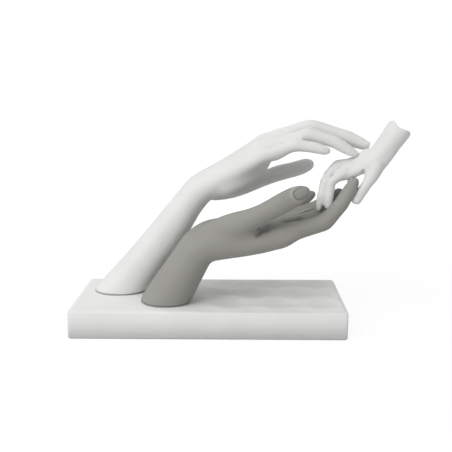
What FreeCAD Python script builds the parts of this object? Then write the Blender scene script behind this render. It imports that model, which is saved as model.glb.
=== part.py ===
import FreeCAD, Part
import math
import os
import Sketcher
from FreeCAD import Placement, Rotation, Vector

# Three right hands meet over a rippled plinth. The front arm holds its palm up, a small child's
# hand rests on its forefinger, and the rear arm lays its fingertips on the back of the small hand.
# Every casting is slip-cast ceramic. Each arm stands on a thin gasket and is pulled down on the
# plinth by a threaded stud that is potted into a plug in the hollow forearm.
# Millimetres. X runs along the plinth, Y into its depth and Z up. The origin is the middle of the
# plane under the felt sheet.

os.makedirs("parts", exist_ok=True)
doc = FreeCAD.newDocument("ceramic_hands")
sheet = doc.addObject("Spreadsheet::Sheet", "Sizes")

# Driving sizes

DRIVING_SIZES = {
    # plinth
    "plinth_length": 300,
    "plinth_depth": 128,
    "plinth_height": 29.5,
    "plinth_wall": 8,
    "plinth_corner_radius": 2.5,
    "plinth_edge_drop": 1.6,
    "plinth_edge_width": 3,
    # ripples of the plinth's top
    "ripple_depth": 2.4,
    "ripple_length": 50,
    "ripple_pitch": 36,
    "ripple_start": -14,
    "ripple_fade": 30,
    "ripple_margin": 9,
    "ripple_step": 6,
    # felt sheet under the plinth
    "felt_inset": 1.5,
    "felt_thickness": 1.5,
    # front arm
    "front_foot_inset": 102.5,
    "front_foot_y": -23,
    "front_forearm_length": 72,
    "front_forearm_breadth": 58,
    "front_forearm_thickness": 50,
    "front_wrist_breadth": 53,
    "front_wrist_thickness": 41,
    "front_hand_length": 181,
    "front_palm_breadth": 84,
    "front_palm_thickness": 33,
    "front_finger_breadth": 18.5,
    # rear arm
    "rear_foot_inset": 45.05,
    "rear_foot_y": 17.62,
    "rear_forearm_breadth": 54,
    "rear_forearm_thickness": 46,
    "rear_wrist_breadth": 47,
    "rear_wrist_thickness": 34,
    "rear_hand_length": 200,
    "rear_palm_breadth": 72,
    "rear_palm_thickness": 28,
    "rear_finger_breadth": 16.5,
    # child's hand
    "small_forearm_breadth": 36,
    "small_forearm_thickness": 26,
    "small_wrist_breadth": 34,
    "small_wrist_thickness": 23,
    "small_hand_length": 100,
    "small_palm_breadth": 45,
    "small_palm_thickness": 18,
    "small_finger_breadth": 9.8,
    # hollow forearms, plugs and gaskets
    "casting_wall": 5,
    "cavity_length": 62,
    "plug_height": 24,
    "gasket_thickness": 0.8,
    "gasket_inset": 1.2,
    # studs and what is threaded on them
    "stud_diameter": 8,
    "stud_embedment": 18,
    "stud_projection": 3,
    "stud_hole_diameter": 9,
    "cushion_diameter": 30,
    "cushion_thickness": 2,
    "washer_diameter": 24,
    "washer_bore": 8.4,
    "washer_thickness": 1.6,
    "nut_across_flats": 13,
    "nut_height": 6.5,
    # pin between the front forefinger and the child's palm
    "finger_pin_diameter": 3,
    "finger_pin_length": 14,
    # gaps
    "glue_gap": 0.3,
    "fit_gap": 0.05,
}

for row, (alias, value) in enumerate(DRIVING_SIZES.items(), start=1):
    sheet.set(f"A{row}", alias)
    sheet.set(f"B{row}", str(value))
    sheet.setAlias(f"B{row}", alias)
doc.recompute()


def size(alias):
    """A size, read from the sheet."""
    return float(sheet.get(alias))


def note_size(alias, value):
    """Adds a size that follows from the driving ones to the sheet, for expressions to use."""
    row = len(DRIVING_SIZES) + 1
    DRIVING_SIZES[alias] = value
    sheet.set(f"A{row}", alias)
    sheet.set(f"B{row}", repr(value))
    sheet.setAlias(f"B{row}", alias)
    doc.recompute()


plinth_top = size("felt_thickness") + size("plinth_height")
seat_level = plinth_top + size("gasket_thickness")

# Places on the hands. Each row is a point in shares of the hand's length from its wrist, along
# X, Y and Z. The first point of a digit lies in the palm, the last is its tip, and the ones
# between are its joints.

FRONT_DIGIT_PLACE_SHARES = {
    "index": [(0.25, -0.09, 0.05), (0.5, -0.12, 0.095), (0.745, -0.115, 0.17), (0.845, -0.105, 0.285),
              (0.9, -0.095, 0.43)],
    "middle": [(0.25, 0.01, 0.05), (0.52, 0, 0.12), (0.735, 0, 0.183), (0.815, 0.005, 0.25),
               (0.85, 0.01, 0.355)],
    "ring": [(0.25, 0.1, 0.06), (0.485, 0.115, 0.135), (0.655, 0.115, 0.19), (0.73, 0.115, 0.225),
             (0.79, 0.11, 0.28)],
    "little": [(0.215, 0.175, 0.07), (0.425, 0.225, 0.145), (0.575, 0.225, 0.205), (0.65, 0.22, 0.245),
               (0.71, 0.21, 0.295)],
    "thumb": [(0.08, -0.035, 0.07), (0.295, -0.145, 0.182), (0.47, -0.19, 0.285), (0.623, -0.2, 0.377)],
}
REAR_DIGIT_PLACE_SHARES = {
    "index": [(0.13, 0.08, 0.1), (0.365, 0.1, 0.24), (0.63, 0.045, 0.315), (0.825, -0.005, 0.27),
              (0.945, -0.035, 0.225)],
    "middle": [(0.13, 0.03, 0.11), (0.35, 0.015, 0.255), (0.61, -0.045, 0.345), (0.805, -0.09, 0.29),
               (0.93, -0.115, 0.24)],
    "ring": [(0.13, -0.03, 0.095), (0.34, -0.075, 0.23), (0.59, -0.135, 0.31), (0.73, -0.165, 0.27),
             (0.85, -0.19, 0.2)],
    "little": [(0.13, -0.085, 0.07), (0.335, -0.155, 0.19), (0.52, -0.205, 0.26), (0.615, -0.225, 0.245),
               (0.7, -0.245, 0.225)],
    "thumb": [(0.055, 0.05, -0.025), (0.245, 0.13, -0.01), (0.45, 0.13, 0.065), (0.645, 0.1, 0.115)],
}
SMALL_DIGIT_PLACE_SHARES = {
    "index": [(-0.21, -0.08, -0.17), (-0.415, -0.13, -0.21), (-0.565, -0.17, -0.305), (-0.59, -0.18, -0.45),
              (-0.595, -0.175, -0.56)],
    "middle": [(-0.215, 0, -0.115), (-0.475, -0.01, -0.15), (-0.61, -0.07, -0.3), (-0.65, -0.11, -0.455),
               (-0.68, -0.13, -0.62)],
    "ring": [(-0.2, 0.09, -0.115), (-0.455, 0.12, -0.14), (-0.56, 0.11, -0.26), (-0.58, 0.09, -0.355),
             (-0.57, 0.07, -0.44)],
    "little": [(-0.19, 0.17, -0.115), (-0.405, 0.23, -0.145), (-0.49, 0.22, -0.24), (-0.515, 0.21, -0.33),
               (-0.49, 0.19, -0.405)],
    "thumb": [(-0.025, -0.09, -0.065), (-0.13, -0.18, -0.245), (-0.23, -0.21, -0.385), (-0.31, -0.21, -0.51)],
}

# Cross-sections of a digit along its bones: the bone that the row is on, the share of that bone's
# length, and the breadth and depth as shares of the finger's breadth.

FINGER_PROFILE_SHARES = [
    (0, 0, 0.9, 0.85), (0, 0.55, 1, 1), (1, 0, 1.08, 1.14), (1, 0.35, 1, 1.04), (1, 0.75, 0.97, 0.96),
    (2, 0, 1.06, 1.02), (2, 0.3, 0.98, 0.94), (2, 0.7, 0.93, 0.86), (3, 0, 0.95, 0.84), (3, 0.35, 0.92, 0.8),
    (3, 0.7, 0.84, 0.7), (3, 0.92, 0.62, 0.5), (3, 1, 0.36, 0.28), (3, 1, 0.1, 0.08),
]
THUMB_PROFILE_SHARES = [
    (0, 0, 1.6, 1.4), (0, 0.5, 1.85, 1.6), (1, 0, 1.35, 1.32), (1, 0.45, 1.12, 1.14), (1, 0.8, 1.14, 1.1),
    (2, 0, 1.2, 1.12), (2, 0.35, 1.2, 1.02), (2, 0.65, 1.12, 0.9), (2, 0.88, 0.86, 0.68), (2, 1, 0.5, 0.38),
    (2, 1, 0.14, 0.1),
]

# Breadth of each digit, as a share of the hand's finger breadth.

DIGIT_BREADTH_SHARES = {"index": 1, "middle": 1.03, "ring": 0.97, "little": 0.86, "thumb": 1}

# Cross-sections of a palm. A row is the centre in shares of the hand's length from the wrist,
# then the shares of the palm's breadth and thickness, then how far its tilt has turned from the
# wrist's to the knuckles'.

FRONT_PALM_SHARES = [
    (0.08, 0.005, 0.045, 0.72, 1.32, 0.1), (0.22, 0.02, 0.055, 0.82, 1.14, 0.4), (0.385, 0.04, 0.08, 0.94, 0.98, 0.8),
    (0.49, 0.05, 0.115, 1, 0.84, 1), (0.57, 0.055, 0.145, 0.96, 0.56, 1), (0.605, 0.055, 0.155, 0.84, 0.3, 1),
    (0.605, 0.055, 0.155, 0.3, 0.1, 1),
]
REAR_PALM_SHARES = [
    (0.075, 0.005, 0.035, 0.72, 1.14, 0.1), (0.205, -0.005, 0.115, 0.85, 1.06, 0.4),
    (0.325, -0.025, 0.2, 0.97, 0.98, 0.8), (0.39, -0.035, 0.235, 1, 0.86, 1), (0.45, -0.045, 0.255, 0.96, 0.6, 1),
    (0.475, -0.05, 0.26, 0.86, 0.34, 1), (0.475, -0.05, 0.26, 0.3, 0.12, 1),
]
SMALL_PALM_SHARES = [
    (-0.08, 0.01, -0.075, 0.84, 1.1, 0.2), (-0.21, 0.03, -0.14, 0.96, 1.04, 0.6), (-0.355, 0.045, -0.19, 1, 0.94, 1),
    (-0.44, 0.05, -0.225, 0.96, 0.76, 1), (-0.5, 0.05, -0.26, 0.84, 0.44, 1), (-0.5, 0.05, -0.26, 0.3, 0.16, 1),
]

# Cross-sections of a forearm. A row is the share of the way from the wrist to the foot, then the
# share by which the section is still the foot's, against the wrist's.

FRONT_FOREARM_SHARES = [(1.2, 1.04), (1, 1), (0.8, 0.8), (0.5, 0.32), (0.22, 0.05), (0, 0)]
REAR_FOREARM_SHARES = [(1.12, 1.2), (1, 1), (0.85, 0.6), (0.6, 0.34), (0.35, 0.14), (0.12, 0.02), (0, 0)]
SMALL_FOREARM_SHARES = [(1.5, 1), (1, 1), (0.6, 0.8), (0.25, 0.3), (0, 0)]

# Directions, as shares along X, Y and Z. A forearm's runs from the wrist to the foot, and a hinge
# is the axis that the fingers bend about, from the little finger's side to the thumb's. The rear
# forearm runs to its own foot from wherever its wrist comes to lie.

FRONT_FOREARM_WAY_SHARES = (-0.51, 0.01, -0.86)
SMALL_FOREARM_WAY_SHARES = (0.58, 0, 0.815)
SMALL_FOREARM_LENGTH_SHARE = 0.45

FRONT_WRIST_HINGE_SHARES = (0, -0.98, -0.2)
FRONT_KNUCKLE_HINGE_SHARES = (0.2, -0.96, -0.17)
FRONT_THUMB_HINGE_SHARES = (-0.5, 0.05, 0.87)
REAR_WRIST_HINGE_SHARES = (0, 0.98, 0.12)
REAR_KNUCKLE_HINGE_SHARES = (0.12, 0.97, 0.2)
REAR_THUMB_HINGE_SHARES = (0.21, 0.54, -0.72)
SMALL_WRIST_HINGE_SHARES = (0, -1, -0.05)
SMALL_KNUCKLE_HINGE_SHARES = (0, -0.98, -0.18)
SMALL_THUMB_HINGE_SHARES = (0.37, 0.79, -0.33)

# How far a palm is hollowed, and how far an arm's sections are squarer than ellipses.

FRONT_CUP_SHARE = 0.45
REAR_CUP_SHARE = 0.3
SMALL_CUP_SHARE = 0.2
SQUARENESS_SHARE = 0.05

# How the hands meet. The child's palm touches the front forefinger's tip at a contact point and
# comes down along a drop. The rear hand's contact point is lowered over a touch point behind the
# child's wrist. Points are in shares of their own hand's length from its wrist.

SMALL_CONTACT_SHARES = (-0.35, -0.21, -0.23)
SMALL_DROP_SHARES = (0.47, 0, -0.88)
REAR_CONTACT_SHARES = (0.905, -0.115, 0.26)
REAR_TOUCH_SHARES = (-0.15, 0.13, 0)
SEAT_TOLERANCE_SHARE = 0.05

# The outline that ends the child's forearm, along X and Z from its wrist: a scoop of four arcs,
# then straight lines round what is cut away.

SMALL_END_SHARES = [
    (-0.06, 0.47), (0.03, 0.375), (0.105, 0.305), (0.14, 0.27), (0.178, 0.254), (0.225, 0.243), (0.262, 0.226),
    (0.283, 0.198), (0.3, 0.14), (0.5, 0.16), (1, 0.5), (0.6, 1.2), (-0.06, 1.2),
]

# The pin between the two: where it starts on the forefinger's last bone, and where in the child's
# palm it points.

PIN_BONE_SHARE = 0.6
PIN_PALM_SHARES = (-0.35, -0.06, -0.19)

# Ripples: how far each crest swings along its row, and where the rows lie across the plinth.

RIPPLE_SCALLOP_SHARE = 0.17
RIPPLE_ROW_SHARE = 0.33

# Solids from closed rings of control points


def ring(centre, across, through, breadth, depth, count, squareness=0, cup=0):
    """Control points of a closed section. Squareness fills its corners, cup hollows its palm side."""
    reach = 3 / (4 + 2 * math.cos(2 * math.pi / count))
    points = []
    for step in range(count):
        turn = 2 * math.pi * step / count
        bulge = reach * (1 + squareness * math.sin(2 * turn) ** 2)
        side = bulge * breadth * math.cos(turn)
        rise = bulge * depth * math.sin(turn)
        if rise < 0:
            rise *= 1 - cup * math.sin(turn) ** 2
        points.append(centre + across * side + through * rise)
    return points


def tube(rings):
    """Solid through rings of control points, smooth along and around, with flat ends."""
    rows = len(rings)
    count = len(rings[0])
    surface = Part.BSplineSurface()
    surface.buildFromPolesMultsKnots(
        rings,
        [4] + [1] * (rows - 4) + [4],
        [1] * (count + 1),
        list(range(rows - 2)),
        list(range(count + 1)),
        False,
        True,
        3,
        3,
    )
    ends = [Part.Face(Part.Wire(surface.uIso(end).toShape())) for end in (0, rows - 3)]
    shell = Part.Shell([surface.toShape(), *ends])
    shell.sewShape()
    solid = Part.Solid(shell)
    if solid.Volume < 0:
        solid.reverse()
    return solid


def unit(vector):
    """The vector at a length of one."""
    return vector / vector.Length


def way_along(centres, index):
    """Direction of a line of centres at one of them."""
    after = centres[min(index + 1, len(centres) - 1)]
    before = centres[max(index - 1, 0)]
    if (after - before).Length == 0:
        before = centres[index - 2]
    return unit(after - before)


def place(share_row, length, origin):
    """A point given in shares of a length from an origin."""
    return origin + Vector(*share_row[:3]) * length


# Digits


def digit(joints, profile, breadth, hinge):
    """A finger or thumb along its joints. Its sections turn about the hinge."""
    centres = []
    for bone, share, _, _ in profile:
        centres.append(joints[bone] + (joints[bone + 1] - joints[bone]) * share)
    rings = []
    for index, (_, _, breadth_share, depth_share) in enumerate(profile):
        way = way_along(centres, index)
        across = unit(hinge - way * hinge.dot(way))
        through = way.cross(across)
        rings.append(ring(centres[index], across, through, breadth * breadth_share, breadth * depth_share, 8))
    return tube(rings)


# Forearms and palms


def forearm_sections(wrist, way, length, table_shares, foot_size, wrist_size, inset=0):
    """Centre, breadth and thickness of each section from the foot up to the wrist."""
    sections = []
    for share, foot_share in table_shares:
        breadth = wrist_size[0] + (foot_size[0] - wrist_size[0]) * foot_share
        thickness = wrist_size[1] + (foot_size[1] - wrist_size[1]) * foot_share
        sections.append((wrist + way * length * share, breadth - 2 * inset, thickness - 2 * inset, 0))
    return sections


def palm_sections(wrist, length, table_shares, breadth, thickness):
    """Centre, breadth and thickness of each section from the wrist to past the knuckles."""
    sections = []
    for row in table_shares:
        sections.append((place(row, length, wrist), breadth * row[3], thickness * row[4], row[5]))
    return sections


def limb(sections, wrist_hinge, knuckle_hinge, cup=0):
    """A tube through arm and palm sections. Its sections turn from one hinge to the other."""
    centres = [section[0] for section in sections]
    rings = []
    for index, (centre, breadth, thickness, tilt) in enumerate(sections):
        way = way_along(centres, index)
        across = unit(wrist_hinge + (knuckle_hinge - wrist_hinge) * tilt)
        through = unit(way.cross(across))
        squareness = SQUARENESS_SHARE * (1 + tilt)
        rings.append(ring(centre, across, through, breadth, thickness, 12, squareness, cup * tilt))
    return tube(rings)


def feature(label, shape, origin=Vector()):
    """Adds a computed shape to the document, placed from the origin that it was made about."""
    item = doc.addObject("Part::Feature", label)
    item.Label = label
    item.Shape = shape
    item.Placement = Placement(origin, Rotation())
    return item


def seat(shape, carrier, way, gap, steps=30):
    """How far a shape that is clear of its carrier travels until it stands a gap away from it."""
    travel = 0
    for _ in range(steps):
        clear = shape.translated(way * travel).distToShape(carrier)[0] - gap
        if clear < gap * SEAT_TOLERANCE_SHARE:
            break
        travel += clear
    return travel


def foot_place(side):
    """Where an arm's foot stands, measured from the plinth's left end and middle line."""
    return Vector(size(f"{side}_foot_inset") - size("plinth_length") / 2, size(f"{side}_foot_y"), seat_level)


# Front arm, palm up

front_hand = size("front_hand_length")
front_way = unit(Vector(*FRONT_FOREARM_WAY_SHARES))
front_foot = foot_place("front")
front_wrist = front_foot - front_way * size("front_forearm_length")
front_foot_size = (size("front_forearm_breadth"), size("front_forearm_thickness"))
front_wrist_size = (size("front_wrist_breadth"), size("front_wrist_thickness"))
front_wrist_hinge = Vector(*FRONT_WRIST_HINGE_SHARES)
front_knuckle_hinge = Vector(*FRONT_KNUCKLE_HINGE_SHARES)


def front_forearm_sections(inset=0):
    """Sections of the front forearm, drawn in by an inset."""
    return forearm_sections(
        front_wrist,
        front_way,
        size("front_forearm_length"),
        FRONT_FOREARM_SHARES,
        front_foot_size,
        front_wrist_size,
        inset,
    )


front_palm = limb(
    front_forearm_sections()
    + palm_sections(
        front_wrist,
        front_hand,
        FRONT_PALM_SHARES,
        size("front_palm_breadth"),
        size("front_palm_thickness"),
    ),
    front_wrist_hinge,
    front_knuckle_hinge,
    FRONT_CUP_SHARE,
)


def digits_of(table_shares, length, wrist, finger_breadth, hinge, thumb_hinge):
    """The five digits of a hand, by name."""
    digits = {}
    for name, rows in table_shares.items():
        joints = [place(row, length, wrist) for row in rows]
        breadth = finger_breadth * DIGIT_BREADTH_SHARES[name]
        if name == "thumb":
            digits[name] = digit(joints, THUMB_PROFILE_SHARES, breadth, thumb_hinge)
        else:
            digits[name] = digit(joints, FINGER_PROFILE_SHARES, breadth, hinge)
    return digits


front_digits = digits_of(
    FRONT_DIGIT_PLACE_SHARES,
    front_hand,
    front_wrist,
    size("front_finger_breadth"),
    front_knuckle_hinge,
    Vector(*FRONT_THUMB_HINGE_SHARES),
)

# Child's hand, made about its own wrist and then lowered on the front forefinger

small_hand = size("small_hand_length")
small_knuckle_hinge = Vector(*SMALL_KNUCKLE_HINGE_SHARES)
small_way = unit(Vector(*SMALL_FOREARM_WAY_SHARES))
small_sections = forearm_sections(
    Vector(),
    small_way,
    small_hand * SMALL_FOREARM_LENGTH_SHARE,
    SMALL_FOREARM_SHARES,
    (size("small_forearm_breadth"), size("small_forearm_thickness")),
    (size("small_wrist_breadth"), size("small_wrist_thickness")),
) + palm_sections(
    Vector(),
    small_hand,
    SMALL_PALM_SHARES,
    size("small_palm_breadth"),
    size("small_palm_thickness"),
)
small_palm = limb(small_sections, Vector(*SMALL_WRIST_HINGE_SHARES), small_knuckle_hinge, SMALL_CUP_SHARE)
small_digits = digits_of(
    SMALL_DIGIT_PLACE_SHARES,
    small_hand,
    Vector(),
    size("small_finger_breadth"),
    small_knuckle_hinge,
    Vector(*SMALL_THUMB_HINGE_SHARES),
)

# The contact point is held over the tip of the forefinger and comes down along the drop

small_drop = unit(Vector(*SMALL_DROP_SHARES))
front_index_tip = place(FRONT_DIGIT_PLACE_SHARES["index"][-1], front_hand, front_wrist)
small_start = front_index_tip - Vector(*SMALL_CONTACT_SHARES) * small_hand - small_drop * small_hand
small_travel = seat(
    small_palm.translated(small_start),
    front_digits["index"],
    small_drop,
    size("glue_gap"),
)
small_wrist = small_start + small_drop * small_travel

# Rear arm, palm down, lowered until the middle or ring fingertip stands on the small hand

rear_hand = size("rear_hand_length")
rear_wrist_hinge = Vector(*REAR_WRIST_HINGE_SHARES)
rear_knuckle_hinge = Vector(*REAR_KNUCKLE_HINGE_SHARES)
rear_digits = digits_of(
    REAR_DIGIT_PLACE_SHARES,
    rear_hand,
    Vector(),
    size("rear_finger_breadth"),
    rear_knuckle_hinge,
    Vector(*REAR_THUMB_HINGE_SHARES),
)
rear_start = (
    small_wrist
    + Vector(*REAR_TOUCH_SHARES) * small_hand
    - Vector(*REAR_CONTACT_SHARES) * rear_hand
    + Vector(0, 0, small_hand)
)
rear_travel = seat(
    Part.makeCompound([rear_digits["middle"], rear_digits["ring"]]).translated(rear_start),
    small_palm.translated(small_wrist),
    Vector(0, 0, -1),
    size("glue_gap"),
)
rear_wrist = rear_start + Vector(0, 0, -rear_travel)
rear_foot = foot_place("rear")
rear_forearm_length = (rear_foot - rear_wrist).Length
rear_way = unit(rear_foot - rear_wrist)

rear_forearm_size = (size("rear_forearm_breadth"), size("rear_forearm_thickness"))
rear_wrist_size = (size("rear_wrist_breadth"), size("rear_wrist_thickness"))


def rear_forearm_sections(inset=0):
    """Sections of the rear forearm, drawn in by an inset."""
    return forearm_sections(
        rear_wrist,
        rear_way,
        rear_forearm_length,
        REAR_FOREARM_SHARES,
        rear_forearm_size,
        rear_wrist_size,
        inset,
    )


rear_palm = limb(
    rear_forearm_sections()
    + palm_sections(
        rear_wrist,
        rear_hand,
        REAR_PALM_SHARES,
        size("rear_palm_breadth"),
        size("rear_palm_thickness"),
    ),
    rear_wrist_hinge,
    rear_knuckle_hinge,
    REAR_CUP_SHARE,
)


def name_digits(prefix, digits, origin=Vector()):
    """Document objects for the digits of a hand."""
    return [feature(f"{prefix}_{name}", shape, origin) for name, shape in digits.items()]


def union(label, items):
    """One solid from several that run into each other."""
    item = doc.addObject("Part::MultiFuse", label)
    item.Label = label
    item.Shapes = items
    return item


def difference(label, base, tool):
    """A solid less a tool."""
    item = doc.addObject("Part::Cut", label)
    item.Label = label
    item.Base = base
    item.Tool = tool
    return item


def overlap(label, base, tool):
    """What two solids share."""
    item = doc.addObject("Part::Common", label)
    item.Label = label
    item.Base = base
    item.Tool = tool
    return item


def bind(item, **expressions):
    """Ties properties of a document object to the sheet."""
    for name, expression in expressions.items():
        item.setExpression(name.replace("__", "."), expression)
    return item


def cylinder(label, diameter, height, x, y, z):
    """An upright cylinder whose sizes and place are expressions on the sheet."""
    item = doc.addObject("Part::Cylinder", label)
    item.Label = label
    return bind(
        item,
        Radius=f"({diameter}) / 2",
        Height=height,
        Placement__Base__x=x,
        Placement__Base__y=y,
        Placement__Base__z=z,
    )


def slab(label, bottom, height):
    """A flat block over the plinth and past its edges, between two levels."""
    item = doc.addObject("Part::Box", label)
    item.Label = label
    return bind(
        item,
        Length="2 * Sizes.plinth_length",
        Width="2 * Sizes.plinth_depth",
        Height=height,
        Placement__Base__x="-Sizes.plinth_length",
        Placement__Base__y="-Sizes.plinth_depth",
        Placement__Base__z=bottom,
    )


note_size("plinth_top", plinth_top)
note_size("seat_level", seat_level)
note_size("deck_underside", plinth_top - size("plinth_wall"))
note_size("front_foot_x", front_foot.x)
note_size("rear_foot_x", rear_foot.x)

# Arms: hollow castings, each cut flat where it stands on its gasket


def arm(side, label, palm, digits, origin, sections_of, hinge):
    """A hand and forearm in one casting of this label, with what fills and seals its foot."""
    solid = union(f"{side}_arm_solid", [feature(f"{side}_palm", palm), *name_digits(side, digits, origin)])
    below = slab(f"{side}_below_seat", "Sizes.seat_level - Sizes.plinth_length", "Sizes.plinth_length")
    standing = difference(f"{side}_arm_standing", solid, below)
    hollow_core = feature(f"{side}_hollow_core", limb(sections_of(size("casting_wall")), hinge, hinge))
    hollow_slab = slab(f"{side}_hollow_slab", "Sizes.seat_level", "Sizes.cavity_length")
    hollow = overlap(f"{side}_hollow", hollow_core, hollow_slab)
    casting = difference(label, standing, hollow)

    plug_inset = size("casting_wall") + size("fit_gap")
    plug_core = feature(f"{side}_plug_core", limb(sections_of(plug_inset), hinge, hinge))
    plug_slab = slab(f"{side}_plug_slab", "Sizes.seat_level", "Sizes.plug_height")
    plug_blank = overlap(f"{side}_plug_blank", plug_core, plug_slab)
    foot = (f"Sizes.{side}_foot_x", f"Sizes.{side}_foot_y")
    plug_hole = cylinder(
        f"{side}_plug_hole",
        "Sizes.stud_diameter + 2 * Sizes.fit_gap",
        "Sizes.stud_embedment + Sizes.fit_gap",
        *foot,
        "Sizes.seat_level",
    )
    plug = difference(f"{side}_foot_plug", plug_blank, plug_hole)

    gasket_core = feature(f"{side}_gasket_core", limb(sections_of(size("gasket_inset")), hinge, hinge))
    gasket_slab = slab(f"{side}_gasket_slab", "Sizes.plinth_top", "Sizes.gasket_thickness")
    gasket_blank = overlap(f"{side}_gasket_blank", gasket_core, gasket_slab)
    gasket_hole = cylinder(
        f"{side}_gasket_hole",
        "Sizes.stud_hole_diameter",
        "Sizes.gasket_thickness",
        *foot,
        "Sizes.plinth_top",
    )
    gasket = difference(f"{side}_seat_gasket", gasket_blank, gasket_hole)
    return [casting, plug, gasket]


front_undrilled, front_plug, front_gasket = arm(
    "front",
    "front_arm_undrilled",
    front_palm,
    front_digits,
    Vector(),
    front_forearm_sections,
    front_wrist_hinge,
)
rear_arm, rear_plug, rear_gasket = arm(
    "rear",
    "rear_arm",
    rear_palm,
    rear_digits,
    rear_wrist,
    rear_forearm_sections,
    rear_wrist_hinge,
)

# Child's hand: its forearm ends in a scooped, rounded edge


def small_end_tool():
    """What is cut from the end of the child's forearm."""
    depth = size("small_forearm_breadth")
    points = [
        small_wrist + Vector(along * small_hand, -depth, rise * small_hand) for along, rise in SMALL_END_SHARES
    ]
    edges = [Part.Arc(*points[start : start + 3]).toShape() for start in (0, 2, 4, 6)]
    edges += [Part.makeLine(points[turn], points[turn + 1]) for turn in range(8, len(points) - 1)]
    edges.append(Part.makeLine(points[-1], points[0]))
    return Part.Face(Part.Wire(edges)).extrude(Vector(0, 2 * depth, 0))


small_solid = union(
    "small_solid",
    [feature("small_palm", small_palm, small_wrist), *name_digits("small", small_digits, small_wrist)],
)
small_trimmed = difference("small_trimmed", small_solid, feature("small_end_tool", small_end_tool()))

# A steel pin from the bone line of the forefinger's tip into the middle of the child's palm, half
# of it to each side of where the two touch

index_bone = [place(row, front_hand, front_wrist) for row in FRONT_DIGIT_PLACE_SHARES["index"][-2:]]
pin_start = index_bone[0] + (index_bone[1] - index_bone[0]) * PIN_BONE_SHARE
pin_way = unit(place(PIN_PALM_SHARES, small_hand, small_wrist) - pin_start)
touch = small_palm.translated(small_wrist).distToShape(front_digits["index"])[1][0][0]
pin_middle = pin_start + pin_way * pin_way.dot(touch - pin_start)


def pin(label, diameter, gap=0):
    """A pin across the contact, longer by a gap at each end."""
    length = size("finger_pin_length") + 2 * gap
    shape = Part.makeCylinder(diameter / 2, length, pin_middle - pin_way * (length / 2), pin_way)
    return feature(label, shape)


pin_hole_size = size("finger_pin_diameter") + 2 * size("fit_gap")
finger_pin = pin("finger_pin", size("finger_pin_diameter"))
small_pin_hole = pin("small_pin_hole", pin_hole_size, size("fit_gap"))
front_pin_hole = pin("front_pin_hole", pin_hole_size, size("fit_gap"))
child_hand = difference("child_hand", small_trimmed, small_pin_hole)
front_arm = difference("front_arm", front_undrilled, front_pin_hole)

# Plinth: a rectangular casting, hollow underneath


def plane_of(body, role="XY_Plane"):
    """One of a body's own origin planes."""
    return next(item for item in body.Origin.OriginFeatures if item.Role == role)


def sketch_on(body, label):
    """An empty sketch on a body's horizontal plane."""
    sketch = body.newObject("Sketcher::SketchObject", label)
    sketch.AttachmentSupport = [(plane_of(body), "")]
    sketch.MapMode = "FlatFace"
    return sketch


def name_constraint(sketch, number, name, expression):
    """Names a sketch constraint and ties it to the sheet."""
    sketch.renameConstraint(number, name)
    sketch.setExpression(f"Constraints.{name}", expression)


def rectangle(sketch, length, depth):
    """A centred rectangle, drawn at unit size. Expressions on the sheet give it its own."""
    corners = [Vector(-1, -1, 0), Vector(1, -1, 0), Vector(1, 1, 0), Vector(-1, 1, 0)]
    for index, corner in enumerate(corners):
        sketch.addGeometry(Part.LineSegment(corner, corners[(index + 1) % 4]))
    for index in range(4):
        sketch.addConstraint(Sketcher.Constraint("Coincident", index, 2, (index + 1) % 4, 1))
    for index in (0, 2):
        sketch.addConstraint(Sketcher.Constraint("Horizontal", index))
    for index in (1, 3):
        sketch.addConstraint(Sketcher.Constraint("Vertical", index))
    sketch.addConstraint(Sketcher.Constraint("Symmetric", 0, 1, 1, 2, -1, 1))
    number = sketch.addConstraint(Sketcher.Constraint("DistanceX", 0, 1, 0, 2, 2))
    name_constraint(sketch, number, "length", length)
    number = sketch.addConstraint(Sketcher.Constraint("DistanceY", 1, 1, 1, 2, 2))
    name_constraint(sketch, number, "depth", depth)


def circle(sketch, x, y, diameter):
    """A circle whose place and diameter are expressions on the sheet."""
    signs = [math.copysign(1, float(sheet.evalExpression(offset))) for offset in (x, y)]
    index = sketch.addGeometry(Part.Circle(Vector(*signs, 0), Vector(0, 0, 1), 1))
    for kind, sign, offset in (("DistanceX", signs[0], x), ("DistanceY", signs[1], y)):
        ends = (-1, 1, index, 3) if sign > 0 else (index, 3, -1, 1)
        number = sketch.addConstraint(Sketcher.Constraint(kind, *ends, 1))
        name_constraint(sketch, number, f"{kind}_{index}", offset if sign > 0 else f"-({offset})")
    number = sketch.addConstraint(Sketcher.Constraint("Diameter", index, 2))
    name_constraint(sketch, number, f"Diameter_{index}", diameter)


def extrude(body, kind, label, sketch, length, reverse=False):
    """A pad or pocket of a sketch."""
    item = body.newObject(f"PartDesign::{kind}", label)
    item.Profile = sketch
    item.Reversed = reverse
    item.setExpression("Length", length)
    doc.recompute()
    return item


plinth_body = doc.addObject("PartDesign::Body", "plinth_body")
outline = sketch_on(plinth_body, "plinth_outline")
rectangle(outline, "Sizes.plinth_length", "Sizes.plinth_depth")
block = extrude(plinth_body, "Pad", "plinth_block", outline, "Sizes.plinth_height + Sizes.ripple_depth")

upright_edges = [
    f"Edge{number}"
    for number, edge in enumerate(block.Shape.Edges, start=1)
    if edge.BoundBox.ZLength > edge.BoundBox.XLength + edge.BoundBox.YLength
]
corners_round = plinth_body.newObject("PartDesign::Fillet", "plinth_corners")
corners_round.Base = (block, upright_edges)
corners_round.setExpression("Radius", "Sizes.plinth_corner_radius")
doc.recompute()

hollow_outline = sketch_on(plinth_body, "hollow_outline")
rectangle(
    hollow_outline,
    "Sizes.plinth_length - 2 * Sizes.plinth_wall",
    "Sizes.plinth_depth - 2 * Sizes.plinth_wall",
)
extrude(
    plinth_body,
    "Pocket",
    "plinth_hollow",
    hollow_outline,
    "Sizes.plinth_height - Sizes.plinth_wall",
    reverse=True,
)

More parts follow.
